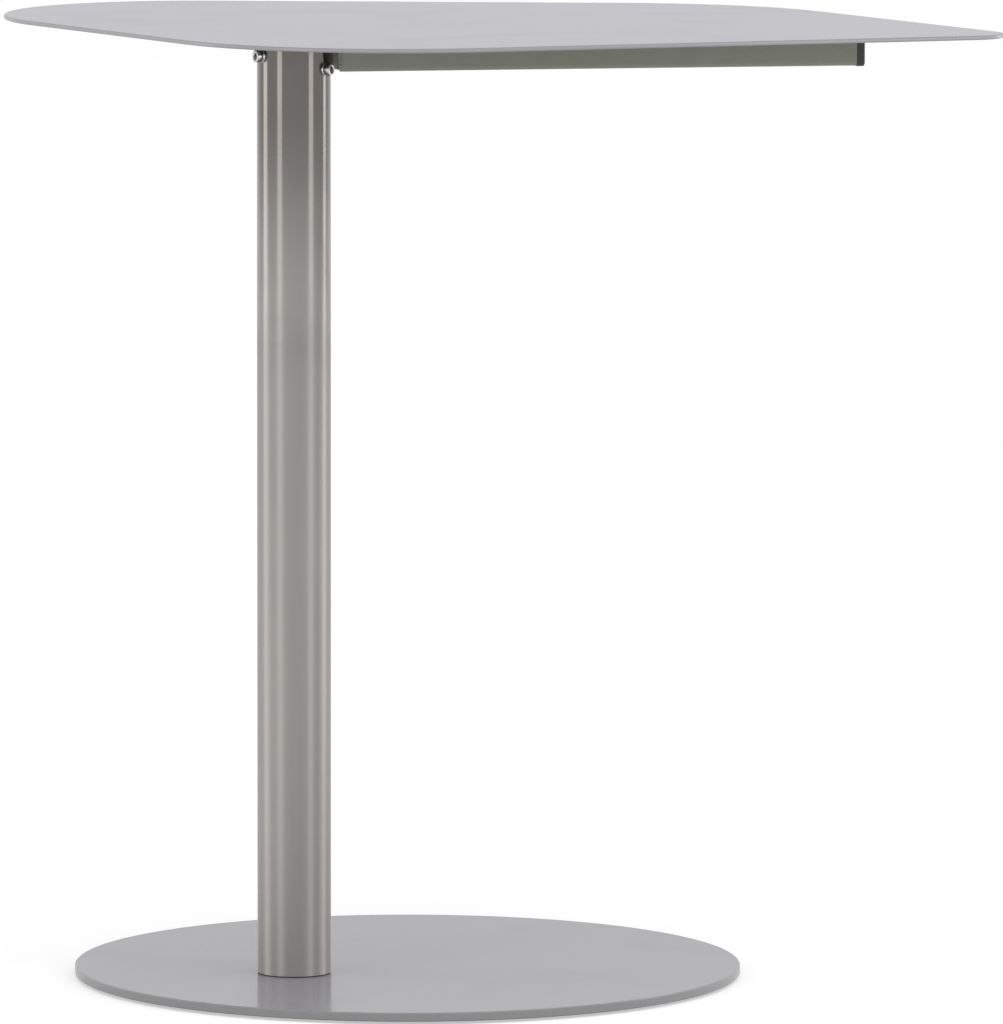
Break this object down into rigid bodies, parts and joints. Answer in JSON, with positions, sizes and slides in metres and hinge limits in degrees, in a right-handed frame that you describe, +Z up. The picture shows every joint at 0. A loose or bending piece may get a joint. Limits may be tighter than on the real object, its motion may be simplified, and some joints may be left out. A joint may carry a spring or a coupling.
{
  "type": "corner table",
  "caption": "Slim corner table: thin rounded metal top on tube arms that turns on an off-centre steel column over a round steel base plate.",
  "frame": {"origin": "on the floor under the middle of the round base plate", "axes": "+Z up; +X from the column's axis towards the middle of the base plate, so the column stands at minus X; +Y to the left of that line"},
  "size_m": [0.5768, 0.5818, 0.646],
  "materials": {
    "grey_paint": "satin",
    "satin_stainless": "satin",
    "bright_screws": "polished",
    "zinc_steel": "zinc plated",
    "black_plastic": "matt",
    "felt_pad": "felt"
  },
  "bodies": {
    "stand": {"glide_centre": "felt_pad", "glide_1": "felt_pad", "glide_2": "felt_pad", "glide_3": "felt_pad", "glide_4": "felt_pad", "glide_5": "felt_pad", "glide_6": "felt_pad", "base_plate": "grey_paint", "base_screws": "zinc_steel", "foot_gasket": "black_plastic", "foot_plug": "zinc_steel", "column_tube": "satin_stainless", "head_ring": "zinc_steel", "clamp_screws": "bright_screws", "thrust_washer": "black_plastic"},
    "top": {"spigot_tube": "zinc_steel", "spigot_plug": "black_plastic", "head_plate": "grey_paint", "side_arm": "grey_paint", "rear_arm": "grey_paint", "side_arm_cap": "black_plastic", "rear_arm_cap": "black_plastic", "table_sheet": "grey_paint", "sheet_studs": "zinc_steel", "stud_nuts": "zinc_steel"}
  },
  "joints": [
    {"name": "top_swivel", "type": "hinge", "parent": "stand", "child": "top", "pos_m": [-0.09, 0, 0.62], "axis": [0, 0, 1], "continuous": true}
  ]
}
